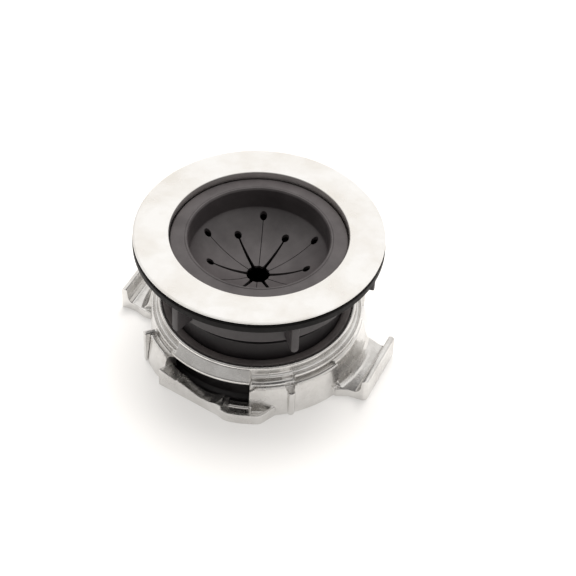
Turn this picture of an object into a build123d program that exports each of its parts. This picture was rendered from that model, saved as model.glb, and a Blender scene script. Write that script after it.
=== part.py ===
from build123d import *
import os
from math import cos, sin, tan, radians, sqrt

# Sink flange mount of a kitchen garbage disposal.
# Millimetres. +Z is up, and the axis of every round piece is the Z axis.
# z = 0 is the face of the mounting ring that the assembly stands on.
# The lugs of the ring lie on +X and -X, and its two windows face -Y and +Y.
# Azimuths are in degrees, counter-clockwise from +X.

# ---------------------------------------------------------------- driving dimensions
HEIGHT = 65.0                 # top of the steel rim
RIM_RADIUS = 57.15            # 4 1/2 in flange
STEEL = 1.2                   # sheet thickness of the flange
MOUTH_RADIUS = 40.8           # opening of the steel flange
SEAT_RADIUS = 36.8            # inner edge of the seat that carries the guard
SEAT_DROP = 6.5               # seat below the top of the rim

SLEEVE_BORE = 37.3
SLEEVE_RADIUS = 40.3          # plain part of the sleeve
THREAD_RADIUS = 41.8          # crest of the thread
THREAD_PITCH = 3.0
THREAD_TOP = 54.5
THREAD_BOTTOM = 33.5
SLEEVE_FOOT = 20.9            # lower end of the sleeve, inside the cushion

STACK_BORE = 42.6             # bore of the gasket and the support disc
GASKET_RADIUS = 55.5
GASKET_TOP = HEIGHT - STEEL
GASKET_BOTTOM = 62.9
FACE_GAP = 0.1                # between the flat faces of two bodies

DISC_RADIUS = 57.3
DISC_TOP = GASKET_BOTTOM - FACE_GAP
DISC_BOTTOM = 58.9

NUT_BORE = 42.3
NUT_WALL_RADIUS = 46.0
NUT_FLANGE_RADIUS = 54.5
NUT_TOP = DISC_BOTTOM - FACE_GAP
NUT_FLANGE_BOTTOM = 56.8
NUT_BOTTOM = 40.6
NUT_RIBS = 6
NUT_RIB_WIDTH = 3.5
NUT_RIB_START = 13.0          # azimuth of the first rib
NUT_RIB_BOTTOM = 41.2

CUSHION_TOP = 24.2
CUSHION_FLANGE_RADIUS = 44.5
CUSHION_GROOVE_RADIUS = 41.9
CUSHION_GROOVE_TOP = 20.3
CUSHION_GROOVE_BOTTOM = 16.4
CUSHION_BODY_RADIUS = 44.4
CUSHION_LIP_RADIUS = 46.2     # flared foot
CUSHION_BOTTOM = 1.2
CUSHION_BORE = 40.4           # around the sleeve
NECK_RADIUS = 41.0            # seat for the neck of the disposal
NECK_TOP = 15.0
CUSHION_SEAT = SLEEVE_FOOT - FACE_GAP

RING_LIP_BORE = 42.2
RING_LIP_BOTTOM = 16.7
RING_LIP_TOP = 20.0
STEP_TOP = 19.6
RING_HUB_BORE = 44.8
RING_HUB_TOP = 24.4
RING_HUB_RADIUS = 46.5
RING_STEP_RADIUS = 49.5
RING_SKIRT_BORE = 47.0
PANEL_TOP = 17.4
PANEL_TOP_RADIUS = 52.0
PANEL_FOOT_RADIUS = 53.8
PANEL_WALL = 1.5
PANEL_TROUGH = 1.5            # depth of the ledge behind a panel's bead
PANEL_LEFT = (228.0, 244.4)   # azimuth spans of one half of the ring
PANEL_LEFT_OUT = 1.0          # the left panel stands further out
WINDOW = (244.4, 292.0)
PANEL_MIDDLE = (292.0, 311.0)
RECESS = (292.6, 316.0)       # where the step is cut back behind the panels
RECESS_RADIUS = 47.8
NOTCH_AZIMUTH = 313.0
PANEL_RIGHT = (315.0, 341.0)
WINDOW_SILL = 2.2
WINDOW_HEAD = 17.4
BOSS_RADIUS = 50.9            # lower lip of the roof over the window
RAIL_BORE = 49.2              # inner edge of the rail and of the pocket
RAIL_FACE = 54.3              # flat front face of the rail, from the axis
RAIL_MIDDLE = 261.3
RAIL_SPAN = (243.6, 279.0)
# top of the rail: place along its face from the middle, and height
RAIL_LEVELS = ((-19.0, 10.8), (-7.4, 8.2), (-7.2, 9.2), (-5.1, 8.4), (-2.3, 7.8), (3.3, 6.1), (6.2, 5.6),
               (11.0, 5.9), (14.6, 7.2), (19.0, 7.2))
POCKET_RADIUS = 58.7
POCKET_SPAN = (281.0, 298.0)
POCKET_TOP = 5.5
POCKET_FLOOR = 2.0
POCKET_WALL = 2.0
SCOOP_SPAN = (293.4, 302.5)   # hollow in the bulge beyond the window
LUG_FACE = 64.6               # outer face of a lug, from the axis
LUG_THICK = 2.8
LUG_TOP = 12.5
LUG_HALF = 14.8
LUG_SPAN = (-19.5, 16.0)      # azimuths of the cove
WEB_TOP = 4.6

GUARD_RADIUS = 40.45
GUARD_SEAT = HEIGHT - SEAT_DROP + FACE_GAP
WELL_RADIUS = 31.4
WELL_OUTER = 34.0
BOWL_RADIUS = 44.2            # spherical top face of the bowl
BOWL_SKIN = 2.0
BOWL_CENTRE = 82.0
BOWL_HOLE = 5.5
FLAPS = 12
FLAP_START = 36.0             # azimuth of the middle of the first flap
FLAP_ROOT = 24.0
ROOT_GAP = 0.3
ROOT_RELIEF = 1.8             # radius cut out of the root corners of a flap
LONG_SLIT = 0.3
SHORT_SLIT = 1.2
SLIT_HOLE = 1.75
LONG_SLIT_END = 28.7
SHORT_SLIT_END = 22.2
TALL = 200.0                  # taller than any piece, for cutting tools


# ---------------------------------------------------------------- helpers
def turned(points, span=360.0, start=0.0):
    """Solid of revolution about Z from (radius, height) points, over span degrees from start."""
    outline = Plane.XZ * Polygon(*points, align=None)
    solid = revolve(outline, Axis.Z, span)
    return Rot(0, 0, start) * solid


def ring(inner, outer, bottom, top, span=360.0, start=0.0):
    """Plain ring, or the sector of one."""
    return turned([(inner, bottom), (outer, bottom), (outer, top), (inner, top)], span, start)


def sector(inner, outer, bottom, top, between):
    """Sector of a ring between two azimuths."""
    return ring(inner, outer, bottom, top, between[1] - between[0], between[0])


def at(radius, azimuth, height=0.0):
    """Point at a radius and azimuth."""
    return (radius * cos(radians(azimuth)), radius * sin(radians(azimuth)), height)


def prism(points, bottom, top):
    """Upright prism with a polygon plan given as (x, y) points."""
    plan = Polygon(*points, align=None)
    return Pos(0, 0, bottom) * extrude(plan, top - bottom, dir=(0, 0, 1))


def post(points, bottom, top):
    """Upright prism with a polygon plan given as (radius, azimuth) points."""
    return prism([at(r, a)[:2] for r, a in points], bottom, top)


def bowl_height(radius, skin=0.0):
    """Height of the bowl's face, at a depth of skin below its top face."""
    return BOWL_CENTRE - sqrt((BOWL_RADIUS + skin) ** 2 - radius ** 2)


def save(shape, node):
    export_step(shape, "parts/" + node + ".step")


# ---------------------------------------------------------------- fixed pieces
def sink_flange():
    seat = HEIGHT - SEAT_DROP
    wall = MOUTH_RADIUS + STEEL
    profile = [
        (MOUTH_RADIUS, seat + 0.8), (MOUTH_RADIUS, HEIGHT - 1.4), (MOUTH_RADIUS + 0.4, HEIGHT - 0.5),
        (MOUTH_RADIUS + 1.4, HEIGHT), (RIM_RADIUS - 2.0, HEIGHT), (RIM_RADIUS - 0.5, HEIGHT - 0.4),
        (RIM_RADIUS, HEIGHT - STEEL), (wall + 0.6, HEIGHT - STEEL), (wall, HEIGHT - STEEL - 0.8),
        (wall, seat - 0.4), (wall - 0.8, seat - STEEL), (SEAT_RADIUS, seat - STEEL),
        (SEAT_RADIUS, seat), (MOUTH_RADIUS - 0.8, seat),
    ]
    return turned(profile)


def threaded_sleeve():
    top = HEIGHT - SEAT_DROP - STEEL
    sleeve = ring(SLEEVE_BORE, SLEEVE_RADIUS, SLEEVE_FOOT, top)
    sleeve += ring(SLEEVE_BORE, MOUTH_RADIUS + STEEL, THREAD_TOP, top)
    height = THREAD_BOTTOM
    root = SLEEVE_RADIUS - 0.2
    crest = 0.25 * THREAD_PITCH
    while height < THREAD_TOP - 0.5 * THREAD_PITCH:
        thread = [(root, height - 1.3), (THREAD_RADIUS, height - 0.5 * crest),
                  (THREAD_RADIUS, height + 0.5 * crest), (root, height + 1.3)]
        sleeve += turned(thread)
        height += THREAD_PITCH
    return sleeve


def sink_gasket():
    return ring(STACK_BORE, GASKET_RADIUS, GASKET_BOTTOM, GASKET_TOP)


def cushion_mount():
    profile = [
        (CUSHION_BORE, CUSHION_TOP), (CUSHION_FLANGE_RADIUS, CUSHION_TOP),
        (CUSHION_FLANGE_RADIUS, CUSHION_GROOVE_TOP), (CUSHION_GROOVE_RADIUS, CUSHION_GROOVE_TOP),
        (CUSHION_GROOVE_RADIUS, CUSHION_GROOVE_BOTTOM), (CUSHION_BODY_RADIUS, CUSHION_GROOVE_BOTTOM),
        (CUSHION_BODY_RADIUS, CUSHION_BOTTOM + 3.4), (CUSHION_LIP_RADIUS, CUSHION_BOTTOM + 1.8),
        (CUSHION_LIP_RADIUS, CUSHION_BOTTOM), (NECK_RADIUS, CUSHION_BOTTOM), (NECK_RADIUS, NECK_TOP),
        (SLEEVE_BORE, NECK_TOP + 1.5), (SLEEVE_BORE, CUSHION_SEAT), (CUSHION_BORE, CUSHION_SEAT),
    ]
    return turned(profile)


# ---------------------------------------------------------------- clamp
def support_disc():
    disc = ring(STACK_BORE, DISC_RADIUS, DISC_BOTTOM, DISC_TOP)
    rim = disc.edges().filter_by(GeomType.CIRCLE).sort_by(SortBy.RADIUS)[-2:]
    return chamfer(rim.sort_by(Axis.Z)[-1], 0.7)


def nut_rib():
    """Grip rib along +X with a rounded foot."""
    inner = NUT_WALL_RADIUS - 1.0
    middle = 0.5 * (inner + NUT_FLANGE_RADIUS)
    half = 0.5 * NUT_RIB_WIDTH
    plate = Box(NUT_FLANGE_RADIUS - inner, NUT_RIB_WIDTH, NUT_FLANGE_BOTTOM - NUT_RIB_BOTTOM - half)
    lift = 0.5 * (NUT_FLANGE_BOTTOM + NUT_RIB_BOTTOM + half)
    foot = Rot(0, 90, 0) * Cylinder(half, NUT_FLANGE_RADIUS - inner)
    rib = Pos(middle, 0, lift) * plate + Pos(middle, 0, NUT_RIB_BOTTOM + half) * foot
    return rib & ring(NUT_BORE, NUT_FLANGE_RADIUS, NUT_BOTTOM, NUT_TOP)


def clamp_nut():
    nut = ring(NUT_BORE, NUT_FLANGE_RADIUS, NUT_FLANGE_BOTTOM, NUT_TOP)
    nut += ring(NUT_BORE, NUT_WALL_RADIUS, NUT_BOTTOM, NUT_TOP)
    for k in range(NUT_RIBS):
        nut += Rot(0, 0, NUT_RIB_START + k * 360.0 / NUT_RIBS) * nut_rib()
    return nut


# ---------------------------------------------------------------- mounting ring
def ring_hub():
    """Full round part: lip in the cushion's groove, hub, beaded step and skirt."""
    profile = [
        (RING_LIP_BORE, RING_LIP_BOTTOM), (RING_LIP_BORE, RING_LIP_TOP), (RING_HUB_BORE, RING_LIP_TOP),
        (RING_HUB_BORE, RING_HUB_TOP), (RING_HUB_RADIUS - 0.5, RING_HUB_TOP),
        (RING_HUB_RADIUS, RING_HUB_TOP - 0.6), (RING_HUB_RADIUS, STEP_TOP + 0.8),
        (RING_HUB_RADIUS + 0.8, STEP_TOP), (RING_STEP_RADIUS - 1.4, STEP_TOP),
        (RING_STEP_RADIUS - 0.9, STEP_TOP + 0.5), (RING_STEP_RADIUS - 0.3, STEP_TOP + 0.5),
        (RING_STEP_RADIUS, STEP_TOP), (RING_STEP_RADIUS + 0.5, 0.0),
        (RING_SKIRT_BORE, 0.0), (RING_SKIRT_BORE, RING_LIP_BOTTOM),
    ]
    return turned(profile)


def panel(between, out=0.0):
    """Raised outer wall with a rounded bead on top and a ledge behind it."""
    span = between[1] - between[0]
    back = RING_STEP_RADIUS - 0.8
    trough = PANEL_TOP - PANEL_TROUGH
    outside = PANEL_TOP_RADIUS + out
    inside = outside - PANEL_WALL
    profile = [(back, 0.0), (PANEL_FOOT_RADIUS + out, 0.0), (outside, PANEL_TOP - 1.3),
               (outside + 0.3, PANEL_TOP - 0.9), (outside + 0.2, PANEL_TOP - 0.3),
               (outside - 0.3, PANEL_TOP), (inside + 0.3, PANEL_TOP - 0.1),
               (inside, PANEL_TOP - 0.6), (inside - 0.2, trough), (back, trough)]
    return turned(profile, span, between[0])


def corner_cut(azimuth, side, width, drop):
    """Tool that slopes the top corner of a panel. side is +1 where the panel lies ahead of azimuth."""
    plan = Plane.YZ * Polygon((-0.5 * side, PANEL_TOP - drop), (width * side, PANEL_TOP + 0.3),
                              (width * side, PANEL_TOP + 3), (-0.5 * side, PANEL_TOP + 3), align=None)
    blade = extrude(plan, POCKET_RADIUS + 2, dir=(1, 0, 0)) - Cylinder(RING_STEP_RADIUS + 0.8, TALL)
    return Rot(0, 0, azimuth) * blade


def window_boss():
    """Sloped roof over the window, with its left end cut back to a facet."""
    inner = RING_HUB_RADIUS - 0.5
    lip = BOSS_RADIUS
    roof = [(inner, RING_LIP_BOTTOM), (lip - 0.9, WINDOW_HEAD), (lip, WINDOW_HEAD + 0.4),
            (lip, WINDOW_HEAD + 1.5), (lip - 0.4, WINDOW_HEAD + 2.0), (inner, RING_HUB_TOP - 0.6)]
    boss = turned(roof, WINDOW[1] - WINDOW[0] - 1, WINDOW[0] + 1)
    facet = Plane.XY * Polygon((RING_HUB_RADIUS, -4), (RING_HUB_RADIUS, 0.4), (lip + 1, 3.2), (lip + 1, -4),
                               align=None)
    tool = Pos(0, 0, STEP_TOP + 0.1) * extrude(facet, TALL, dir=(0, 0, 1))
    return boss - Rot(0, 0, WINDOW[0] + 1) * tool


def window_opening():
    """Opening through the skirt, with its upper left corner cut back."""
    opening = sector(RING_HUB_BORE, POCKET_RADIUS + 2, WINDOW_SILL, WINDOW_HEAD, WINDOW)
    corner = Plane.YZ * Polygon((-1, 14.4), (0.6, 14.4), (3.2, WINDOW_HEAD), (3.2, WINDOW_HEAD + 1),
                                (-1, WINDOW_HEAD + 1), align=None)
    filler = extrude(corner, POCKET_RADIUS + 4, dir=(1, 0, 0))
    return opening - Rot(0, 0, WINDOW[0]) * filler


def ramp_rail():
    """Flat-faced rail under the window. Its top falls from the open end towards the stop pocket."""
    first, last = (RAIL_FACE / cos(radians(azimuth - RAIL_MIDDLE)) for azimuth in RAIL_SPAN)
    plan = [(RAIL_BORE, RAIL_SPAN[0]), (first, RAIL_SPAN[0]), (last, RAIL_SPAN[1]), (RAIL_BORE, RAIL_SPAN[1])]
    span = RAIL_SPAN[1] - RAIL_SPAN[0]
    plan += [(RAIL_BORE, RAIL_SPAN[1] - k * span / 8) for k in range(1, 8)]
    top = RAIL_LEVELS
    above = Plane.YZ * Polygon(*top, (top[-1][0], TALL), (top[0][0], TALL), align=None)
    tool = extrude(above, POCKET_RADIUS + 5, dir=(1, 0, 0))
    return post(plan, 0.0, TALL) - Rot(0, 0, RAIL_MIDDLE) * tool


def stop_pocket():
    """Bulge of the rail with an open pocket, where the locking tab comes to rest, and a scoop beyond it."""
    start, end = POCKET_SPAN
    joint = start - 4.0
    outline = [(RAIL_BORE, joint - 0.5), (RAIL_FACE / cos(radians(joint - RAIL_MIDDLE)), joint),
               (POCKET_RADIUS - 0.4, start), (POCKET_RADIUS, start + 2)]
    outline += [(POCKET_RADIUS, start + 2 + k * (end - start - 4) / 4) for k in range(1, 5)]
    outline += [(POCKET_RADIUS - 0.4, end), (PANEL_FOOT_RADIUS, end + 7.0), (RAIL_BORE, end + 7.0)]
    bulge = post(outline, 0.0, POCKET_TOP)
    wall = POCKET_RADIUS - POCKET_WALL
    jamb = WINDOW[1]
    hollow = [(RAIL_BORE - 2, start + 0.5), (wall, start + 1.0)]
    hollow += [(wall, start + 1 + k * (jamb - start - 1) / 4) for k in range(1, 5)]
    hollow += [(RAIL_BORE - 2, jamb)]
    bulge -= post(hollow, POCKET_FLOOR, POCKET_TOP + 1)
    near, far = SCOOP_SPAN
    scoop = post([(RING_STEP_RADIUS + 3.2, near), (wall, near), (wall, near + 3.5),
                  (PANEL_FOOT_RADIUS - 0.2, far), (RING_STEP_RADIUS + 3.2, far)], POCKET_FLOOR + 1, POCKET_TOP + 1)
    lip = [(RAIL_BORE, 0.5), (RAIL_BORE + 2.0, 0.5), (RAIL_BORE + 2.0, POCKET_FLOOR),
           (RAIL_BORE + 1.6, POCKET_FLOOR + 0.8), (RAIL_BORE + 0.5, POCKET_FLOOR + 0.8),
           (RAIL_BORE, POCKET_FLOOR + 0.3)]
    return bulge - scoop + turned(lip, jamb - start - 1, start + 1)


def notch_pillar():
    """Half-round pillar between two panels, in a notch of their beads."""
    foot = at(PANEL_FOOT_RADIUS - 0.3, NOTCH_AZIMUTH)
    top = PANEL_TOP - 3.4
    pillar = Cylinder(1.7, top, align=(Align.CENTER, Align.CENTER, Align.MIN))
    pillar = Pos(*foot) * pillar
    fill = (NOTCH_AZIMUTH - 2.0, NOTCH_AZIMUTH + 2.0)
    return pillar + sector(RING_STEP_RADIUS - 0.8, PANEL_TOP_RADIUS + 0.6, 0.0, top, fill)


def end_pillar():
    """Flat pillar at the free end of the left panel."""
    start = PANEL_LEFT[0]
    pillar = sector(RING_STEP_RADIUS - 0.8, PANEL_FOOT_RADIUS + PANEL_LEFT_OUT + 0.8, 0.0, PANEL_TOP + 0.2,
                    (start - 3.4, start - 0.6))
    return pillar + sector(RING_STEP_RADIUS - 0.8, PANEL_TOP_RADIUS - 0.4, 0.0, PANEL_TOP - 2.4,
                           (start - 1, start + 0.5))


def lug():
    """Lug on +X: the wall of the ring runs down in a cove to a web, which ends in an upright rib."""
    web = [(46.0, 16.5), (52.0, 16.4), (57.5, 14.6), (LUG_FACE, LUG_HALF),
           (LUG_FACE, -LUG_HALF - 1.5), (LUG_FACE - 1.6, -LUG_HALF - 3.0),
           (56.0, -18.4), (51.0, -20.8), (46.0, -20.0)]
    inner = LUG_FACE - LUG_THICK
    side = Plane.XZ * Polygon((RING_SKIRT_BORE + 1, 0), (LUG_FACE, 0), (LUG_FACE, LUG_TOP - 0.9),
                              (LUG_FACE - 0.9, LUG_TOP), (inner + 0.5, LUG_TOP), (inner, LUG_TOP - 0.5),
                              (inner - 0.4, WEB_TOP + 2.6), (inner - 1.2, WEB_TOP + 1.0), (inner - 2.6, WEB_TOP),
                              (RING_SKIRT_BORE + 1, WEB_TOP), align=None)
    body = extrude(side, 26, both=True) & prism(web, -1.0, TALL)
    wall = RING_STEP_RADIUS + 0.4
    cove = [(RING_SKIRT_BORE + 1, 0), (wall + 7.1, 0), (wall + 7.1, WEB_TOP - 0.2), (wall + 5.6, WEB_TOP + 0.2),
            (wall + 4.2, WEB_TOP + 1.2), (wall + 3.0, WEB_TOP + 3.0), (wall + 2.2, WEB_TOP + 5.6),
            (wall + 1.5, WEB_TOP + 9.0), (wall + 0.9, WEB_TOP + 12.0), (wall + 0.4, STEP_TOP - 1.8),
            (wall - 0.3, STEP_TOP - 1.2), (RING_SKIRT_BORE + 1, STEP_TOP - 1.2)]
    return body + turned(cove, LUG_SPAN[1] - LUG_SPAN[0], LUG_SPAN[0])


def half_ring():
    """Everything that stands out of the hub on the -Y half, with the lug on +X."""
    body = panel(PANEL_LEFT, PANEL_LEFT_OUT) + panel(PANEL_MIDDLE) + panel(PANEL_RIGHT)
    for azimuth, side, width, drop in ((PANEL_LEFT[1], -1, 1.8, 2.6), (PANEL_MIDDLE[0], 1, 4.5, 3.6),
                                       (PANEL_MIDDLE[1], -1, 1.2, 3.2), (PANEL_RIGHT[0], 1, 1.6, 3.2)):
        body -= corner_cut(azimuth, side, width, drop)
    return body + notch_pillar() + end_pillar() + lug()


def mounting_ring():
    body = ring_hub()
    half = half_ring()
    body += half + Rot(0, 0, 180) * half
    opening = window_opening()
    floor_cut = sector(RING_HUB_BORE, PANEL_FOOT_RADIUS - 2.2, POCKET_FLOOR, WINDOW_SILL + 1,
                       (POCKET_SPAN[0] + 0.5, WINDOW[1]))
    details = window_boss() + ramp_rail() + stop_pocket()
    recess = turned([(RECESS_RADIUS, PANEL_TOP - 0.5), (PANEL_TOP_RADIUS - PANEL_WALL - 0.2, PANEL_TOP - 1.5),
                     (PANEL_TOP_RADIUS - PANEL_WALL - 0.2, TALL), (RECESS_RADIUS - 0.2, TALL)],
                    RECESS[1] - RECESS[0], RECESS[0])
    for half_turn in (0, 180):
        body -= Rot(0, 0, half_turn) * opening
        body -= Rot(0, 0, half_turn) * floor_cut
        body -= Rot(0, 0, half_turn) * recess
        body += Rot(0, 0, half_turn) * details
    return body


# ---------------------------------------------------------------- splash guard
def slit_tool(azimuth, width, inner, outer):
    """Upright blade along one slit."""
    blade = Pos(0.5 * (inner + outer), 0, 0) * Box(outer - inner, width, TALL)
    return Rot(0, 0, azimuth) * blade


def hole_tool(azimuth, radius, size):
    return Pos(*at(radius, azimuth)) * Cylinder(size, TALL)


def bowl(inner, outer):
    """Skin of the bowl between two radii."""
    top = [(r, bowl_height(r)) for r in (inner, 0.5 * (inner + outer), outer)]
    low = [(r, bowl_height(r, BOWL_SKIN)) for r in (inner, 0.5 * (inner + outer), outer)]
    with BuildSketch(Plane.XZ) as profile:
        with BuildLine():
            ThreePointArc(top[0], top[1], top[2])
            Line(top[2], low[2])
            ThreePointArc(low[2], low[1], low[0])
            Line(low[0], top[0])
        make_face()
    return revolve(profile.sketch, Axis.Z)


def slit_azimuths():
    """(azimuth, is_long) of each slit. Long and short slits alternate."""
    step = 360.0 / FLAPS
    return [(FLAP_START + (k + 0.5) * step, k % 2 == 0) for k in range(FLAPS)]


def splash_guard():
    """Rim, well and the outer zone of the bowl."""
    well_foot = bowl_height(WELL_RADIUS)
    skirt_foot = bowl_height(WELL_OUTER, BOWL_SKIN)
    profile = [
        (WELL_OUTER, GUARD_SEAT), (GUARD_RADIUS - 0.9, GUARD_SEAT), (GUARD_RADIUS, GUARD_SEAT + 0.7),
        (GUARD_RADIUS, 60.7), (GUARD_RADIUS - 0.4, 61.1),
        (33.9, 61.8), (33.6, 61.6), (33.3, 61.9), (32.6, 62.1), (32.0, 61.6),
        (WELL_RADIUS + 0.3, 59.0), (WELL_RADIUS, well_foot), (WELL_OUTER, skirt_foot),
    ]
    guard = turned(profile) + bowl(FLAP_ROOT - 2.0, 0.5 * (WELL_RADIUS + WELL_OUTER))
    mouth = RegularPolygon(FLAP_ROOT + ROOT_GAP, FLAPS, major_radius=False)
    guard -= Pos(0, 0, -0.5 * TALL) * extrude(Rot(0, 0, FLAP_START - 15.0) * mouth, TALL)
    for azimuth, is_long in slit_azimuths():
        if is_long:
            guard -= slit_tool(azimuth, LONG_SLIT, FLAP_ROOT, LONG_SLIT_END)
            guard -= hole_tool(azimuth, LONG_SLIT_END, SLIT_HOLE)
    return guard


def splash_flap(k):
    """Flap k of the bowl, at its place."""
    half = 180.0 / FLAPS
    reach = FLAP_ROOT * tan(radians(half))
    wedge = prism([(0, 0), (FLAP_ROOT, -reach), (FLAP_ROOT, reach)], 0.0, TALL)
    flap = bowl(BOWL_HOLE, FLAP_ROOT + 3.0) & wedge
    for side in (-1, 1):
        is_long = (k + (side - 1) // 2) % 2 == 0
        width = LONG_SLIT if is_long else SHORT_SLIT
        flap -= slit_tool(side * half, width, 0.0, FLAP_ROOT + 2)
        flap -= hole_tool(side * half, FLAP_ROOT + 0.4, ROOT_RELIEF)
        if not is_long:
            flap -= hole_tool(side * half, SHORT_SLIT_END, SLIT_HOLE)
    return Rot(0, 0, FLAP_START + 2 * half * k) * flap


# ---------------------------------------------------------------- output
def main():
    os.makedirs("parts", exist_ok=True)
    save(sink_flange(), "sink_flange")
    save(threaded_sleeve(), "threaded_sleeve")
    save(sink_gasket(), "sink_gasket")
    save(support_disc(), "support_disc")
    save(clamp_nut(), "clamp_nut")
    save(cushion_mount(), "cushion_mount")
    save(mounting_ring(), "mounting_ring")
    save(splash_guard(), "splash_guard")
    for k in range(FLAPS):
        save(splash_flap(k), f"splash_flap_{k + 1:02d}")


main()
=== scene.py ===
import math

import bmesh
import bpy
from mathutils import Matrix, Vector
from mathutils.geometry import delaunay_2d_cdt


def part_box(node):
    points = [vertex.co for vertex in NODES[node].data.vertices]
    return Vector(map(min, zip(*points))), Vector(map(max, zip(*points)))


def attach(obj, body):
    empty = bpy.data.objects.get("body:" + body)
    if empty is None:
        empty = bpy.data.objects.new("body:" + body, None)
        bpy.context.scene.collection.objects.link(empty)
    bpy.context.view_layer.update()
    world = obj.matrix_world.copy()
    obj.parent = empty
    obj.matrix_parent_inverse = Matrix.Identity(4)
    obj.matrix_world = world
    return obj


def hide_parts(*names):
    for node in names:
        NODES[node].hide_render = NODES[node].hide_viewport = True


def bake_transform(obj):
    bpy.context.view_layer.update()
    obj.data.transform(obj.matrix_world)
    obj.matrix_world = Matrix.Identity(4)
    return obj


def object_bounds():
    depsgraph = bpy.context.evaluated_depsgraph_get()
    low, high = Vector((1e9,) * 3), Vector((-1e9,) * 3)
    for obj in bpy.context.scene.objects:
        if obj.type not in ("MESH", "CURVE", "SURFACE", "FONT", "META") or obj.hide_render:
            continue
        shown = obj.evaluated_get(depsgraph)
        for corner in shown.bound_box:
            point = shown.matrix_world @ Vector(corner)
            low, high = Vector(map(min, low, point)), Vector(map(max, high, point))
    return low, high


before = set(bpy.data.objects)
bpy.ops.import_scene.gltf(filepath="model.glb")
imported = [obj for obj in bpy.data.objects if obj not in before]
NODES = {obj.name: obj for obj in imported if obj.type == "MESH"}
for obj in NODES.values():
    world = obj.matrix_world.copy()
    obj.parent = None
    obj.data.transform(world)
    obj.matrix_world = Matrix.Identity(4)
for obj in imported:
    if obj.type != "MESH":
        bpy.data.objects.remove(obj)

# Sink flange mount of a garbage disposal: the look of each piece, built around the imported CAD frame.
# Profiles are (radius, height) in millimetres, and mesh coordinates are metres.

cad_low, cad_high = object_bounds()
MM = 0.001
TURN = 2.0 * math.pi
SEGMENTS = 288
WHITE = (1.0, 0.985, 0.965)    # the studio's slightly warm white


# ---------------------------------------------------------------- sizes read from the frame
def node_box(node):
    """Lowest and highest corner of a CAD node in millimetres."""
    low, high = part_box(node)
    return low / MM, high / MM


rim_low, rim_high = node_box("sink_flange")
sleeve_low, sleeve_high = node_box("threaded_sleeve")
gasket_low, gasket_high = node_box("sink_gasket")
disc_low, disc_high = node_box("support_disc")
nut_low, nut_high = node_box("clamp_nut")
cushion_low, cushion_high = node_box("cushion_mount")
_, guard_high = node_box("splash_guard")

# ---------------------------------------------------------------- driving sizes that no box shows
STEEL_SHEET = 1.2              # thickness of the flange's sheet
MOUTH_R = 40.8                 # opening of the flange
SEAT_R = 36.8                  # inner edge of the seat that carries the guard
SEAT_Z = rim_low.z + STEEL_SHEET
STACK_BORE = 42.6              # bore of the gasket and the disc
SLEEVE_BORE = 37.3
BODY_GAP = 0.1                 # between the flat faces of two bodies

BOWL_R = 44.2                  # spherical top face of the guard's bowl
BOWL_SKIN = 1.4
BOWL_CENTRE = 82.0
FLAPS = 12
FLAP_STEP = TURN / FLAPS
HALF_FLAP = 0.5 * FLAP_STEP
FLAP_START = math.radians(36.0)


# ---------------------------------------------------------------- mesh helpers
def linked(name, data):
    """New object in the scene."""
    made = bpy.data.objects.new(name, data)
    bpy.context.scene.collection.objects.link(made)
    return made


def new_object(name, mesh, body):
    """Links a mesh as a piece that rides on a body."""
    piece = linked(name, mesh)
    if body:
        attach(piece, body)
    return piece


def mesh_from(work, name):
    """Turns a bmesh into a mesh and frees it."""
    mesh = bpy.data.meshes.new(name)
    work.to_mesh(mesh)
    work.free()
    return mesh


def smooth(mesh, angle=32.0):
    """Smooth shading, with sharp edges above an angle if there is one."""
    mesh.polygons.foreach_set("use_smooth", [True] * len(mesh.polygons))
    if angle:
        mesh.set_sharp_from_angle(angle=math.radians(angle))


def rounded(points, radius=0.3, steps=4):
    """Closed (r, z) outline with each corner rounded. A point may carry its own radius."""
    count = len(points)
    result = []
    for i in range(count):
        corner = Vector(points[i][:2])
        before = Vector(points[i - 1][:2]) - corner
        after = Vector(points[(i + 1) % count][:2]) - corner
        wanted = points[i][2] if len(points[i]) > 2 else radius
        angle = before.angle(after)
        if wanted <= 0 or angle > math.radians(176):
            result.append(tuple(corner))
            continue
        reach = min(wanted / math.tan(angle / 2), 0.48 * before.length, 0.48 * after.length)
        start = corner + before.normalized() * reach
        end = corner + after.normalized() * reach
        for k in range(steps + 1):
            t = k / steps
            mix = start * (1 - t) ** 2 + corner * 2 * t * (1 - t) + end * t ** 2
            result.append(tuple(mix))
    return result


def between(start, end, t):
    """Point at a share t of the way from start to end."""
    return (start[0] + (end[0] - start[0]) * t, start[1] + (end[1] - start[1]) * t)


def refine_open(points, longest):
    """Adds points along the long sides of an open line."""
    result = []
    for start, end in zip(points, points[1:]):
        pieces = max(1, math.ceil(math.dist(start, end) / longest))
        result += [between(start, end, k / pieces) for k in range(pieces)]
    return result + [points[-1]]


def refine(points, longest):
    """Adds points along the long sides of a closed outline."""
    return refine_open(points + points[:1], longest)[:-1]


def fix_normals(mesh):
    """Turns every face outwards."""
    work = bmesh.new()
    work.from_mesh(mesh)
    bmesh.ops.recalc_face_normals(work, faces=work.faces)
    work.to_mesh(mesh)
    work.free()


def lathe_mesh(name, outline, segments=SEGMENTS, shift=None):
    """Closed outline turned about Z. shift(angle, r, z) may move each point in the profile's plane."""
    verts = []
    for s in range(segments):
        angle = TURN * s / segments
        for r, z in outline:
            if shift:
                r, z = shift(angle, r, z)
            verts.append((r * math.cos(angle) * MM, r * math.sin(angle) * MM, z * MM))
    count = len(outline)
    faces = []
    for s in range(segments):
        here = s * count
        there = ((s + 1) % segments) * count
        for i in range(count):
            j = (i + 1) % count
            faces.append((here + i, there + i, there + j, here + j))
    mesh = bpy.data.meshes.new(name)
    mesh.from_pydata(verts, [], faces)
    fix_normals(mesh)
    smooth(mesh)
    return mesh


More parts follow.
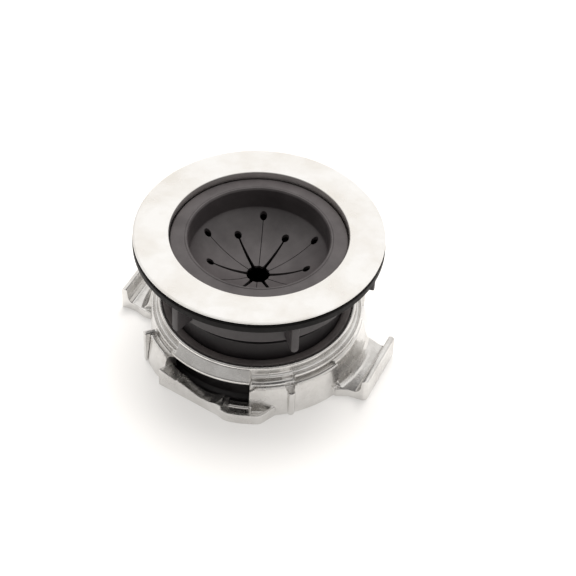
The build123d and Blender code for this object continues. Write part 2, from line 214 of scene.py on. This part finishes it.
def inside(point, loop):
    """Whether a plan point lies inside a closed loop."""
    x, y = point
    odd = False
    for i in range(len(loop)):
        x1, y1 = loop[i - 1]
        x2, y2 = loop[i]
        if (y1 > y) != (y2 > y) and x < (x2 - x1) * (y - y1) / (y2 - y1) + x1:
            odd = not odd
    return odd


def plan_triangles(outer, inner, spacing):
    """Triangles of the plan area between an outer loop and an optional inner loop."""
    loops = [outer] + ([inner] if inner else [])
    points = []
    edges = []
    for loop in loops:
        first = len(points)
        points += [Vector(p) for p in loop]
        edges += [(first + i, first + (i + 1) % len(loop)) for i in range(len(loop))]
    border = list(points)
    reach = max(max(abs(p.x), abs(p.y)) for p in points)
    rows = int(reach / spacing) + 1
    row_step = spacing * 0.866
    for row in range(-rows, rows + 1):
        for column in range(-rows - 1, rows + 1):
            spot = Vector(((column + 0.5 * (row % 2)) * spacing, row * row_step))
            if not inside(spot, outer) or (inner and inside(spot, inner)):
                continue
            if min((spot - edge_point).length_squared for edge_point in border) > (0.45 * spacing) ** 2:
                points.append(spot)
    verts, _, faces, _, _, _ = delaunay_2d_cdt(points, edges, [], 0, 1e-5)
    kept = []
    for face in faces:
        middle = sum((verts[i] for i in face), Vector((0, 0))) / len(face)
        if inside(middle, outer) and not (inner and inside(middle, inner)):
            kept.append(tuple(face))
    return [tuple(v) for v in verts], kept


def bowl_z(r, skin=0.0):
    """Height of the bowl's top face, or of its underside with skin."""
    return BOWL_CENTRE - math.sqrt((BOWL_R + skin) ** 2 - r * r)


def sheet_into(work, outer, inner, spacing, turn=0.0):
    """Adds the curved sheet of the bowl over a plan area to a bmesh: top face and underside. Returns the
    border for the rims.
    """
    verts, faces = plan_triangles(outer, inner, spacing)
    spin = Matrix.Rotation(turn, 4, "Z")
    top = []
    low = []
    for x, y in verts:
        r = math.hypot(x, y)
        top.append(work.verts.new(spin @ Vector((x * MM, y * MM, bowl_z(r) * MM))))
        low.append(work.verts.new(spin @ Vector((x * MM, y * MM, bowl_z(r, BOWL_SKIN) * MM))))
    border = {}
    for face in faces:
        work.faces.new([top[i] for i in face])
        work.faces.new([low[i] for i in reversed(face)])
        for here, there in zip(face, face[1:] + face[:1]):
            if (there, here) in border:
                del border[(there, here)]
            else:
                border[(here, there)] = True
    return border, top, low


def rim_faces(work, border, top, low, skip=None):
    """Walls along the border of a sheet, but not where skip(a, b) says so of an edge."""
    for a, b in border:
        if skip and skip(top[a].co, top[b].co):
            continue
        work.faces.new((top[a], low[a], low[b], top[b]))
    loose = [vert for vert in work.verts if not vert.link_faces]
    bmesh.ops.delete(work, geom=loose, context="VERTS")


# ---------------------------------------------------------------- materials
def material(name, color, metallic, roughness, specular=0.5):
    """New material, with its node tree and shader."""
    made = bpy.data.materials.new(name)
    made.use_nodes = True
    shader = made.node_tree.nodes["Principled BSDF"]
    shader.inputs["Base Color"].default_value = (*color, 1.0)
    shader.inputs["Metallic"].default_value = metallic
    shader.inputs["Roughness"].default_value = roughness
    shader.inputs["Specular IOR Level"].default_value = specular
    return made, made.node_tree, shader


def node(tree, kind, **values):
    """New node, with values for its sockets or its settings."""
    made = tree.nodes.new(kind)
    for key, value in values.items():
        if key in made.inputs:
            made.inputs[key].default_value = value
        else:
            setattr(made, key, value)
    return made


def object_point(tree):
    """Place on the piece, in metres."""
    return node(tree, "ShaderNodeTexCoord").outputs["Object"]


def noise(tree, vector, scale, detail=3.0, rough=0.5):
    """Soft noise in space, with scale patches to the metre."""
    made = node(tree, "ShaderNodeTexNoise", Scale=scale, Detail=detail, Roughness=rough)
    tree.links.new(vector, made.inputs["Vector"])
    return made.outputs["Fac"]


def mapped(tree, value, low, high, from_low=0.0, from_high=1.0):
    """Value brought from one range to another."""
    ends = {"From Min": from_low, "From Max": from_high, "To Min": low, "To Max": high}
    made = node(tree, "ShaderNodeMapRange", **ends)
    tree.links.new(value, made.inputs["Value"])
    return made.outputs["Result"]


def tint(tree, value, dark, light, low=0.35, high=0.65):
    """Colour between two colours by a value."""
    ramp = node(tree, "ShaderNodeValToRGB")
    for element, position, color in zip(ramp.color_ramp.elements, (low, high), (dark, light)):
        element.position = position
        element.color = (*color, 1.0)
    tree.links.new(value, ramp.inputs["Fac"])
    return ramp.outputs["Color"]


def bump(tree, height, distance, strength, under=None):
    """Relief of distance metres, on top of another relief."""
    made = node(tree, "ShaderNodeBump", Strength=strength, Distance=distance)
    tree.links.new(height, made.inputs["Height"])
    if under:
        tree.links.new(under, made.inputs["Normal"])
    return made.outputs["Normal"]


def axis_distance(tree, vector):
    """Distance of a point from the Z axis."""
    flat = node(tree, "ShaderNodeVectorMath", operation="MULTIPLY")
    flat.inputs[1].default_value = (1.0, 1.0, 0.0)
    tree.links.new(vector, flat.inputs[0])
    length = node(tree, "ShaderNodeVectorMath", operation="LENGTH")
    tree.links.new(flat.outputs["Vector"], length.inputs[0])
    return length.outputs["Value"]


def turned_lines(tree, vector, per_metre, detail=2.0):
    """Fine rings about the Z axis, as a lathe or a polishing wheel leaves."""
    lines = node(tree, "ShaderNodeTexNoise", noise_dimensions="1D", Detail=detail, Scale=per_metre)
    tree.links.new(axis_distance(tree, vector), lines.inputs["W"])
    return lines.outputs["Fac"]


def steel():
    """Polished stainless steel with fine rings, light stains and a few dull patches."""
    made, tree, shader = material("polished_steel", (0.90, 0.885, 0.86), 1.0, 0.2)
    point = object_point(tree)
    rings = turned_lines(tree, point, 1500.0)
    cloud = noise(tree, point, 45.0, 4.0, 0.6)
    tree.links.new(tint(tree, cloud, (0.83, 0.80, 0.755), (0.93, 0.92, 0.905), 0.3, 0.6),
                   shader.inputs["Base Color"])
    tree.links.new(mapped(tree, cloud, 0.30, 0.16, 0.3, 0.7), shader.inputs["Roughness"])
    tree.links.new(bump(tree, rings, 0.00002, 0.25), shader.inputs["Normal"])
    shader.inputs["Anisotropic"].default_value = 0.4
    return made


def aluminium():
    """Die-cast aluminium: fine grain, shallow dimples and softly clouded tone."""
    made, tree, shader = material("cast_aluminium", (0.72, 0.705, 0.685), 1.0, 0.30)
    point = object_point(tree)
    cloud = noise(tree, point, 70.0, 5.0, 0.6)
    grain = noise(tree, point, 1400.0, 3.0, 0.6)
    dimple = noise(tree, point, 260.0, 2.0, 0.5)
    tree.links.new(tint(tree, cloud, (0.62, 0.605, 0.585), (0.79, 0.78, 0.765), 0.3, 0.65),
                   shader.inputs["Base Color"])
    tree.links.new(mapped(tree, cloud, 0.32, 0.17, 0.3, 0.7), shader.inputs["Roughness"])
    coarse = bump(tree, dimple, 0.0004, 0.16)
    tree.links.new(bump(tree, grain, 0.0001, 0.22, coarse), shader.inputs["Normal"])
    return made


def plastic(name, dark, light, rough_low, rough_high, specular):
    """Moulded plastic: faint flow marks, fine skin and slight scuffs."""
    made, tree, shader = material(name, light, 0.0, rough_low, specular)
    point = object_point(tree)
    cloud = noise(tree, point, 60.0, 4.0, 0.55)
    skin = noise(tree, point, 2200.0, 2.0, 0.5)
    scuff = noise(tree, point, 420.0, 5.0, 0.7)
    tree.links.new(tint(tree, cloud, dark, light), shader.inputs["Base Color"])
    tree.links.new(mapped(tree, scuff, rough_low, rough_high, 0.35, 0.65), shader.inputs["Roughness"])
    lines = bump(tree, turned_lines(tree, point, 2600.0), 0.00002, 0.1)
    tree.links.new(bump(tree, skin, 0.00006, 0.18, lines), shader.inputs["Normal"])
    return made


def rubber(name, dark, light, rough_low, rough_high, specular):
    """Moulded rubber: fine matt skin, with a faint grey bloom in patches."""
    made, tree, shader = material(name, light, 0.0, rough_low, specular)
    point = object_point(tree)
    cloud = noise(tree, point, 85.0, 5.0, 0.6)
    skin = noise(tree, point, 3000.0, 2.0, 0.6)
    pits = noise(tree, point, 900.0, 2.0, 0.5)
    tree.links.new(tint(tree, cloud, dark, light, 0.3, 0.7), shader.inputs["Base Color"])
    tree.links.new(mapped(tree, cloud, rough_high, rough_low, 0.3, 0.7), shader.inputs["Roughness"])
    coarse = bump(tree, pits, 0.00005, 0.12)
    tree.links.new(bump(tree, skin, 0.00004, 0.2, coarse), shader.inputs["Normal"])
    return made


STEEL_LOOK = steel()
ALUMINIUM_LOOK = aluminium()
SLEEVE_LOOK = plastic("black_plastic", (0.014, 0.012, 0.013), (0.022, 0.019, 0.020), 0.36, 0.5, 0.25)
NUT_LOOK = plastic("grey_plastic", (0.036, 0.031, 0.033), (0.054, 0.047, 0.049), 0.34, 0.50, 0.45)
DISC_LOOK = plastic("black_fibre", (0.004, 0.0035, 0.0035), (0.008, 0.007, 0.007), 0.45, 0.6, 0.12)
GASKET_LOOK = rubber("gasket_rubber", (0.004, 0.0035, 0.0035), (0.007, 0.006, 0.006), 0.5, 0.7, 0.1)
CUSHION_LOOK = rubber("cushion_rubber", (0.011, 0.0095, 0.010), (0.018, 0.016, 0.0165), 0.42, 0.6, 0.3)
# Much lighter copy of the cushion's rubber for its top faces: painted light falling on the top of the
# cushion
TOP_LIGHT_LOOK = rubber("cushion_painted_top_light", (0.10, 0.086, 0.084), (0.16, 0.14, 0.136), 0.42, 0.6, 0.4)
GUARD_LOOK = rubber("guard_rubber", (0.037, 0.032, 0.033), (0.060, 0.053, 0.054), 0.32, 0.46, 0.5)


def dress(piece, look):
    """Gives a piece one material."""
    piece.data.materials.clear()
    piece.data.materials.append(look)


# ---------------------------------------------------------------- steel flange, gasket and disc
def make_flange():
    """Drawn flange. An outline's point is (radius, height, rounding of the corner)."""
    rim, top = rim_high.x, rim_high.z
    under = top - STEEL_SHEET
    wall = MOUTH_R + STEEL_SHEET
    outline = [
        (MOUTH_R, SEAT_Z + 0.8, 0.6), (MOUTH_R, top, 1.1), (rim - 2.6, top, 0.6),
        (rim - 0.9, top - 0.2, 0.4), (rim, top - 0.75, 0.4), (rim, under, 0.2),
        (wall, under, 1.0), (wall, rim_low.z, 1.2), (SEAT_R, rim_low.z, 0.2), (SEAT_R, SEAT_Z, 0.2),
    ]
    outline = refine(rounded(outline, 0.3, 6), 1.6)
    piece = new_object("flange_steel", lathe_mesh("flange_steel", outline), "sleeve_body")
    dress(piece, STEEL_LOOK)
    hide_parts("sink_flange")


def make_gasket():
    edge, top = gasket_high.x, gasket_high.z
    outline = [(STACK_BORE, gasket_low.z), (edge, gasket_low.z), (edge, top), (STACK_BORE, top)]
    mesh = lathe_mesh("gasket", refine(rounded(outline, 0.25), 2.0))
    piece = new_object("gasket", mesh, "sleeve_body")
    dress(piece, GASKET_LOOK)
    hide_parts("sink_gasket")


def make_disc():
    edge, top = disc_high.x, disc_high.z
    outline = [(STACK_BORE, disc_low.z), (edge, disc_low.z, 0.4), (edge, top - 0.75, 0.25),
               (edge - 0.8, top, 0.25), (STACK_BORE, top)]
    mesh = lathe_mesh("disc", refine(rounded(outline, 0.25, 5), 1.6))
    piece = new_object("disc", mesh, "disc_body")
    dress(piece, DISC_LOOK)
    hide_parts("support_disc")


make_flange()
make_gasket()
make_disc()


# ---------------------------------------------------------------- threaded sleeve
THREAD_CREST = 41.8
THREAD_ROOT = 40.3
THREAD_PITCH = 3.0
THREAD_FROM = 33.0
THREAD_TO = 54.0
THREAD_FADE = 1.6              # height over which the thread runs out


def thread_height(angle, z):
    """How far the thread stands out of the sleeve, from 0 to 1."""
    phase = ((z - THREAD_FROM) / THREAD_PITCH + angle / TURN) % 1.0
    flank = abs(phase - 0.5) * 2.0
    result = 1.0
    for share in ((0.62 - flank) / 0.34, (z - THREAD_FROM) / THREAD_FADE, (THREAD_TO - z) / THREAD_FADE):
        result *= min(1.0, max(0.0, share))
    return result


def make_sleeve():
    foot = sleeve_low.z
    top = sleeve_high.z
    rows = int((THREAD_TO - THREAD_FROM) / 0.2)
    outline = [(THREAD_ROOT, foot), (THREAD_ROOT, THREAD_FROM - 0.3)]
    outline += [(THREAD_ROOT, THREAD_FROM + k * (THREAD_TO - THREAD_FROM) / rows) for k in range(rows + 1)]
    outline += [(THREAD_ROOT, THREAD_TO + 0.5), (sleeve_high.x, THREAD_TO + 0.9), (sleeve_high.x, top),
                (SLEEVE_BORE, top), (SLEEVE_BORE + 0.2, foot + 1.0), (SLEEVE_BORE + 0.9, foot)]

    def shift(angle, r, z):
        if abs(r - THREAD_ROOT) < 1e-6 and THREAD_FROM <= z <= THREAD_TO:
            r += (THREAD_CREST - THREAD_ROOT) * thread_height(angle, z)
        return r, z

    mesh = lathe_mesh("sleeve", outline, SEGMENTS, shift)
    piece = new_object("sleeve", mesh, "sleeve_body")
    dress(piece, SLEEVE_LOOK)
    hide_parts("threaded_sleeve")


make_sleeve()


# ---------------------------------------------------------------- cushion
CUSHION_BORE = 40.4            # around the sleeve
CUSHION_FLANGE_R = 44.5        # above the groove that holds the ring's lip
CUSHION_BODY_R = 44.4
GROOVE_R = 41.9
GROOVE_LOW = 16.4
GROOVE_HIGH = 20.3
WAIST_MIDDLE = 12.3            # shallow band around the body
WAIST_HALF = 1.1
WAIST_DEPTH = 0.5
NECK_R = 41.0                  # seat for the neck of the disposal
NECK_TOP = 15.0
TOP_LIGHT_DEPTH = 1.2              # how far down the top face reaches that is painted lighter: painted light on the top


def make_cushion():
    top = cushion_high.z
    foot = cushion_low.z
    lip = cushion_high.x
    seat = sleeve_low.z - BODY_GAP
    body = CUSHION_BODY_R
    flange = CUSHION_FLANGE_R
    waist = body - WAIST_DEPTH
    waist_edge = WAIST_HALF - 0.4
    outline = [
        (CUSHION_BORE, seat, 0), (CUSHION_BORE, top - 0.9, 0.2), (CUSHION_BORE + 0.5, top - 0.25, 0.3),
        (GROOVE_R, top, 0.4), (flange - 0.5, top, 0.5), (flange, top - 0.6, 0.3),
        (flange, GROOVE_HIGH, 0.4), (GROOVE_R, GROOVE_HIGH, 0.3), (GROOVE_R, GROOVE_LOW, 0.3),
        (body, GROOVE_LOW, 0.6), (body, WAIST_MIDDLE + WAIST_HALF, 0.3),
        (waist, WAIST_MIDDLE + waist_edge, 0.3), (waist, WAIST_MIDDLE - waist_edge, 0.3),
        (body, WAIST_MIDDLE - WAIST_HALF, 0.3),
        (body, foot + 3.4, 0.8), (lip, foot + 1.8, 0.5), (lip, foot, 0.4), (NECK_R, foot, 0.6),
        (NECK_R, NECK_TOP, 0.4), (SLEEVE_BORE, NECK_TOP + 1.5, 0.5), (SLEEVE_BORE, seat, 0.2),
    ]
    mesh = lathe_mesh("cushion", refine(rounded(outline, 0.3, 4), 1.6))
    piece = new_object("cushion", mesh, "sleeve_body")
    dress(piece, CUSHION_LOOK)
    # The top faces take the lighter copy of the rubber: painted light on the cushion's top
    piece.data.materials.append(TOP_LIGHT_LOOK)
    for face in piece.data.polygons:
        if face.center.z > (top - TOP_LIGHT_DEPTH) * MM:
            face.material_index = 1
    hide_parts("cushion_mount")


make_cushion()


# ---------------------------------------------------------------- clamp nut
NUT_BORE = 42.3
NUT_WALL = 46.0
NUT_FLANGE_LOW = 56.8
RIBS = 6
RIB_START = math.radians(13.0)
RIB_WIDTH = 3.5
RIB_FOOT = 41.2
RIB_ROOT = 1.0                 # how deep a rib is sunk into the wall and the flange
RIB_EDGE = 0.45                # rounding of a rib's outer edges


def rib_mesh():
    """Outline of a rib seen from outside, with a round foot, pushed out from the nut's wall."""
    half = 0.5 * RIB_WIDTH
    head = NUT_FLANGE_LOW + 0.5 * RIB_ROOT
    turns = [math.radians(15 * k) for k in range(-6, 7)]
    outline = [(-half, head)]
    outline += [(half * math.sin(turn), RIB_FOOT + half - half * math.cos(turn)) for turn in turns]
    outline += [(half, head)]
    inner = NUT_WALL - RIB_ROOT
    outer = nut_high.x - 0.05
    work = bmesh.new()
    back = [work.verts.new((inner * MM, y * MM, z * MM)) for y, z in outline]
    front = [work.verts.new((outer * MM, y * MM, z * MM)) for y, z in outline]
    work.faces.new(back)
    work.faces.new(list(reversed(front)))
    for i in range(len(outline)):
        work.faces.new((back[i], back[i - 1], front[i - 1], front[i]))
    bmesh.ops.recalc_face_normals(work, faces=work.faces)
    front_edges = [edge for edge in work.edges if all(vert in front for vert in edge.verts)]
    bmesh.ops.bevel(work, geom=front_edges, offset=RIB_EDGE * MM, segments=3, affect="EDGES", profile=0.5)
    return mesh_from(work, "rib")


def apply_modifiers(piece):
    """Replaces a piece's mesh with what its modifiers make of it."""
    bpy.context.view_layer.update()
    graph = bpy.context.evaluated_depsgraph_get()
    made = bpy.data.meshes.new_from_object(piece.evaluated_get(graph))
    piece.modifiers.clear()
    piece.data = made


def fuse(piece, tools):
    """Joins other objects into a piece as one closed solid."""
    for tool in tools:
        join = piece.modifiers.new("join", "BOOLEAN")
        join.operation = "UNION"
        join.solver = "EXACT"
        join.object = tool
        apply_modifiers(piece)
        bpy.data.objects.remove(tool)


def make_nut():
    foot = nut_low.z
    edge, top = nut_high.x, nut_high.z
    outline = [
        (NUT_BORE, foot, 0.5), (NUT_WALL - 0.4, foot, 0.4), (NUT_WALL, NUT_FLANGE_LOW, 0.9),
        (edge, NUT_FLANGE_LOW, 0.5), (edge, top, 0.4), (NUT_BORE, top, 0.3),
    ]
    mesh = lathe_mesh("nut", refine(rounded(outline, 0.3, 5), 2.0))
    piece = new_object("nut", mesh, None)
    ribs = [linked("rib", rib_mesh()) for _ in range(RIBS)]
    for k, rib in enumerate(ribs):
        rib.data.transform(Matrix.Rotation(RIB_START + TURN * k / RIBS, 4, "Z"))
    fuse(piece, ribs)
    smooth(piece.data, 30)
    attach(piece, "nut_body")
    dress(piece, NUT_LOOK)
    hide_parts("clamp_nut")


make_nut()


# ---------------------------------------------------------------- mounting ring
CASTING_GRAIN = 0.25
CASTING_PASSES = 6
WELD_REACH = 0.01


def make_ring():
    """The cast ring: the CAD solid with its edges softened as a casting's are."""
    piece = new_object("ring_casting", NODES["mounting_ring"].data.copy(), None)
    steps = (("weld", "WELD", {"merge_threshold": WELD_REACH * MM}),
             ("remesh", "REMESH", {"mode": "VOXEL", "voxel_size": CASTING_GRAIN * MM}),
             ("relax", "SMOOTH", {"factor": 0.5, "iterations": CASTING_PASSES}),
             ("thin", "DECIMATE", {"ratio": 0.4}))
    for name, kind, settings in steps:
        modifier = piece.modifiers.new(name, kind)
        for key, value in settings.items():
            setattr(modifier, key, value)
    apply_modifiers(piece)
    smooth(piece.data, None)
    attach(piece, "ring_body")
    dress(piece, ALUMINIUM_LOOK)
    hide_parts("mounting_ring")


make_ring()


# ---------------------------------------------------------------- splash guard
# The bowl is cut by slits into flaps. Wide short slits and hairline long slits lie in turn, each with a hole
# at its outer end.
SEAM_R = 26.6                  # between the flaps and the guard's own zone of the bowl
HAIR_HALF = 0.16               # half width of a hairline slit
WIDE_HALF = 0.42               # half width of a wide slit at its hole
WIDE_HALF_IN = 0.8             # and at the star hole
LONG_HOLE = (28.7, 1.7)        # distance from the axis, and radius
SHORT_HOLE = (22.2, 1.75)
STAR_R = 5.5
JOIN_R = 31.0                  # where the bowl's sheet meets the turned rim
WELL_R = 32.3                  # mouth of the well
SKIRT_R = 34.0                 # outer face of the well's wall
WELL_BEND = 58.5               # where the well's wall turns upright
RIM_TOP = 61.1                 # outer edge of the guard's rim
RIM_UNDER = SEAT_Z + BODY_GAP
HAIR_ANGLE = math.asin(HAIR_HALF / SEAM_R)
SHEET_STEP = 0.75
GUARD_SEGMENTS = 240


def polar(r, angle):
    """Plan point from its distance and angle."""
    return (r * math.cos(angle), r * math.sin(angle))


def around(centre, radius, start, end, steps):
    """Points of an arc about a point of the X axis."""
    arc = [polar(radius, start + (end - start) * k / steps) for k in range(steps + 1)]
    return [(centre + x, y) for x, y in arc]


def turned_point(point, angle):
    """Plan point turned about the Z axis."""
    c, s = math.cos(angle), math.sin(angle)
    return (point[0] * c - point[1] * s, point[0] * s + point[1] * c)


def slit_side(is_long):
    """Edge of a flap along one slit, from the centre out. The slit lies along +X and the flap above it."""
    if is_long:
        steps = 26
        start = (math.sqrt(STAR_R ** 2 - HAIR_HALF ** 2), HAIR_HALF)
        return [between(start, (SEAM_R, HAIR_HALF), k / steps) for k in range(steps)]
    centre, radius = SHORT_HOLE
    steps = 16
    start = (STAR_R + 0.4, WIDE_HALF_IN)
    end = (centre - math.sqrt(radius ** 2 - WIDE_HALF ** 2), WIDE_HALF)
    points = [between(start, end, k / steps) for k in range(steps)]
    points += around(centre, radius, math.pi - math.asin(WIDE_HALF / radius), 0.0, 12)
    past = (centre + radius, 0.0)
    return points + [between(past, (SEAM_R, 0.0), k / 4) for k in range(1, 4)]


def flap_plan(long_is_ahead):
    """Plan outline of a flap whose middle lies along +X."""
    behind = [turned_point(point, -HALF_FLAP) for point in slit_side(not long_is_ahead)]
    ahead = [turned_point((x, -y), HALF_FLAP) for x, y in slit_side(long_is_ahead)]
    low = -HALF_FLAP + (0.0 if long_is_ahead else HAIR_ANGLE)
    high = HALF_FLAP - (HAIR_ANGLE if long_is_ahead else 0.0)
    edge = [polar(SEAM_R, low + (high - low) * k / 16) for k in range(17)]
    tip_low = math.atan2(behind[0][1], behind[0][0])
    tip_high = math.atan2(ahead[0][1], ahead[0][0])
    tip = []
    for k in range(1, 8):
        t = k / 8
        ragged = 0.22 * math.sin(5.0 * t + 2.0) * math.sin(math.pi * t)
        bulge = 0.35 * (1 - t) * t * 4
        tip.append(polar(STAR_R - 0.3 + bulge + ragged, tip_high + (tip_low - tip_high) * t))
    return behind + edge + list(reversed(ahead)) + tip


def make_flap(k):
    """One flap."""
    turn = FLAP_START + FLAP_STEP * k
    work = bmesh.new()
    rim_faces(work, *sheet_into(work, flap_plan(k % 2 == 0), None, SHEET_STEP, turn))
    bmesh.ops.recalc_face_normals(work, faces=work.faces)
    number = f"{k + 1:02d}"
    mesh = mesh_from(work, f"flap_{number}")
    smooth(mesh, 40)
    piece = new_object(f"flap_{number}", mesh, None)
    dress(piece, GUARD_LOOK)
    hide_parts(f"splash_flap_{number}")
    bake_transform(piece)


def guard_inner_loop():
    """Inner edge of the guard's own zone of the bowl, with the holes at the ends of the long slits."""
    loop = []
    centre, radius = LONG_HOLE
    opening = math.asin(HAIR_HALF / radius)
    hole = around(centre, radius, -math.pi + opening, math.pi - opening, 20)
    span = 2 * FLAP_STEP - 2 * HAIR_ANGLE
    for k in range(FLAPS // 2):
        slit = FLAP_START + HALF_FLAP + 2 * FLAP_STEP * k
        loop += [turned_point(point, slit) for point in hole]
        loop += [polar(SEAM_R, slit + HAIR_ANGLE + span * i / 32) for i in range(33)]
    return loop


def guard_profile():
    """Well, lip, rim and underside of the guard, from the bowl's top face round to its underside."""
    crest, edge = guard_high.z, guard_high.x
    corners = [
        (JOIN_R, bowl_z(JOIN_R), 0.0), (WELL_R - 0.6, bowl_z(JOIN_R) + 0.9, 0.8),
        (WELL_R - 0.3, WELL_BEND, 0.5), (WELL_R, crest - 0.9, 0.4), (WELL_R + 0.6, crest, 0.35),
        (SKIRT_R - 0.5, crest - 0.15, 0.2),
        (SKIRT_R - 0.25, crest - 0.45, 0.1), (SKIRT_R, crest - 0.25, 0.2),
        (SKIRT_R + 2.5, crest - 0.55, 1.5), (edge - 0.5, RIM_TOP, 0.4), (edge, RIM_TOP - 0.5, 0.3),
        (edge, RIM_UNDER + 0.7, 0.3), (edge - 0.95, RIM_UNDER, 0.3),
        (SKIRT_R + 0.6, RIM_UNDER, 0.6), (SKIRT_R, bowl_z(SKIRT_R, BOWL_SKIN), 0.8),
        (JOIN_R, bowl_z(JOIN_R, BOWL_SKIN), 0.0),
    ]
    return refine_open(rounded(corners, 0.3, 4), 1.2)


def at_join(a, b):
    """Whether an edge lies on the circle where the sheet meets the turned rim."""
    return min(a.xy.length, b.xy.length) > (JOIN_R - 0.2) * MM


def make_guard():
    angles = [TURN * s / GUARD_SEGMENTS for s in range(GUARD_SEGMENTS)]
    outer = [polar(JOIN_R, angle) for angle in angles]
    work = bmesh.new()
    rim_faces(work, *sheet_into(work, outer, guard_inner_loop(), SHEET_STEP), at_join)
    rings = [[work.verts.new(Vector((*polar(r, angle), z)) * MM) for angle in angles]
             for r, z in guard_profile()]
    for upper, lower in zip(rings, rings[1:]):
        for s in range(GUARD_SEGMENTS):
            t = (s + 1) % GUARD_SEGMENTS
            work.faces.new((upper[s], upper[t], lower[t], lower[s]))
    bmesh.ops.remove_doubles(work, verts=work.verts, dist=0.002 * MM)
    bmesh.ops.recalc_face_normals(work, faces=work.faces)
    mesh = mesh_from(work, "guard")
    smooth(mesh, 40)
    piece = new_object("guard", mesh, "guard_body")
    dress(piece, GUARD_LOOK)
    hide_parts("splash_guard")


make_guard()
for index in range(FLAPS):
    make_flap(index)


# ---------------------------------------------------------------- floor, light and camera
FLOOR_HALF = 3.0               # these are in metres
FLOOR_GAP = 0.0001             # below the ring's face
# The black card under the throat is painted shade
CARD_GAP = 0.00004
CARD_R = 0.049
GLOW = 0.37                    # the floor's own light keeps the shadow pale
DOME_FACING = Vector((-0.12, 0.58, 0.80))
DOME_STRENGTH = 1.05
KEY_PLACE = Vector((-0.10, 0.36, 0.87))
KEY_AIM = Vector((0.0, 0.0, 0.03))
KEY_SIZE = 0.7
KEY_POWER = 11.0
CAMERA_PLACE = Vector((0.2318, -0.5097, 0.5898))
CAMERA_AIM = Vector((0.0199, -0.0106, 0.0475))
CAMERA_ROLL = math.radians(2.9)
CAMERA_LENS = 106.25


def staged(name, mesh, height, look):
    """Flat piece of the stage at a height."""
    piece = linked(name, mesh)
    piece.location.z = height
    mesh.materials.append(look)


def make_floor():
    half = FLOOR_HALF
    mesh = bpy.data.meshes.new("floor")
    corners = [(-half, -half, 0), (half, -half, 0), (half, half, 0), (-half, half, 0)]
    mesh.from_pydata(corners, [], [(0, 1, 2, 3)])
    look, _, shader = material("floor", (0.56, 0.55, 0.538), 0.0, 0.85, 0.1)
    shader.inputs["Emission Color"].default_value = (*WHITE, 1.0)
    shader.inputs["Emission Strength"].default_value = GLOW
    staged("floor", mesh, cad_low.z - FLOOR_GAP, look)


def make_shade_card():
    """Matt black card on the floor under the open throat: painted shade standing for the shadow inside the
    throat, so that the throat reads as deep.
    """
    work = bmesh.new()
    bmesh.ops.create_circle(work, cap_ends=True, segments=96, radius=CARD_R)
    # Black of the card: painted shade where the throat lies in shadow
    look, _, _ = material("card", (0.004, 0.004, 0.004), 0.0, 0.9, 0.05)
    staged("throat_shade_card", mesh_from(work, "throat_shade_card"), cad_low.z - CARD_GAP, look)


def aimed(holder, place, aim, roll=0.0):
    """Puts a light or a camera at a place, looking at a point."""
    look = (aim - place).to_track_quat("-Z", "Y")
    holder.matrix_world = (Matrix.Translation(place) @ look.to_matrix().to_4x4()
                           @ Matrix.Rotation(roll, 4, "Z"))


def make_dome():
    """A soft white studio: bright above and behind the object, and dim at the front."""
    world = bpy.data.worlds.new("studio")
    bpy.context.scene.world = world
    world.use_nodes = True
    tree = world.node_tree
    sky = tree.nodes["Background"]
    facing = node(tree, "ShaderNodeVectorMath", operation="DOT_PRODUCT")
    facing.inputs[1].default_value = DOME_FACING.normalized()
    tree.links.new(node(tree, "ShaderNodeTexCoord").outputs["Generated"], facing.inputs[0])
    value = mapped(tree, facing.outputs["Value"], 0.0, 1.0, -0.6, 1.0)
    tree.links.new(tint(tree, value, (0.13, 0.127, 0.124), WHITE, 0.2, 0.8), sky.inputs["Color"])
    sky.inputs["Strength"].default_value = DOME_STRENGTH


def make_key():
    """Large soft light from above and behind. The metals don't mirror it."""
    lamp = bpy.data.lights.new("key", "AREA")
    lamp.shape = "SQUARE"
    lamp.size = KEY_SIZE
    lamp.energy = KEY_POWER
    lamp.color = WHITE
    holder = linked("key", lamp)
    aimed(holder, KEY_PLACE, KEY_AIM)
    holder.visible_glossy = False


def make_camera():
    data = bpy.data.cameras.new("camera")
    data.lens = CAMERA_LENS
    data.sensor_width = 36.0
    data.clip_start = 0.01
    holder = linked("camera", data)
    aimed(holder, CAMERA_PLACE, CAMERA_AIM, CAMERA_ROLL)
    bpy.context.scene.camera = holder


make_floor()
make_shade_card()
make_dome()
make_key()
make_camera()
bpy.context.scene.view_settings.view_transform = "Standard"
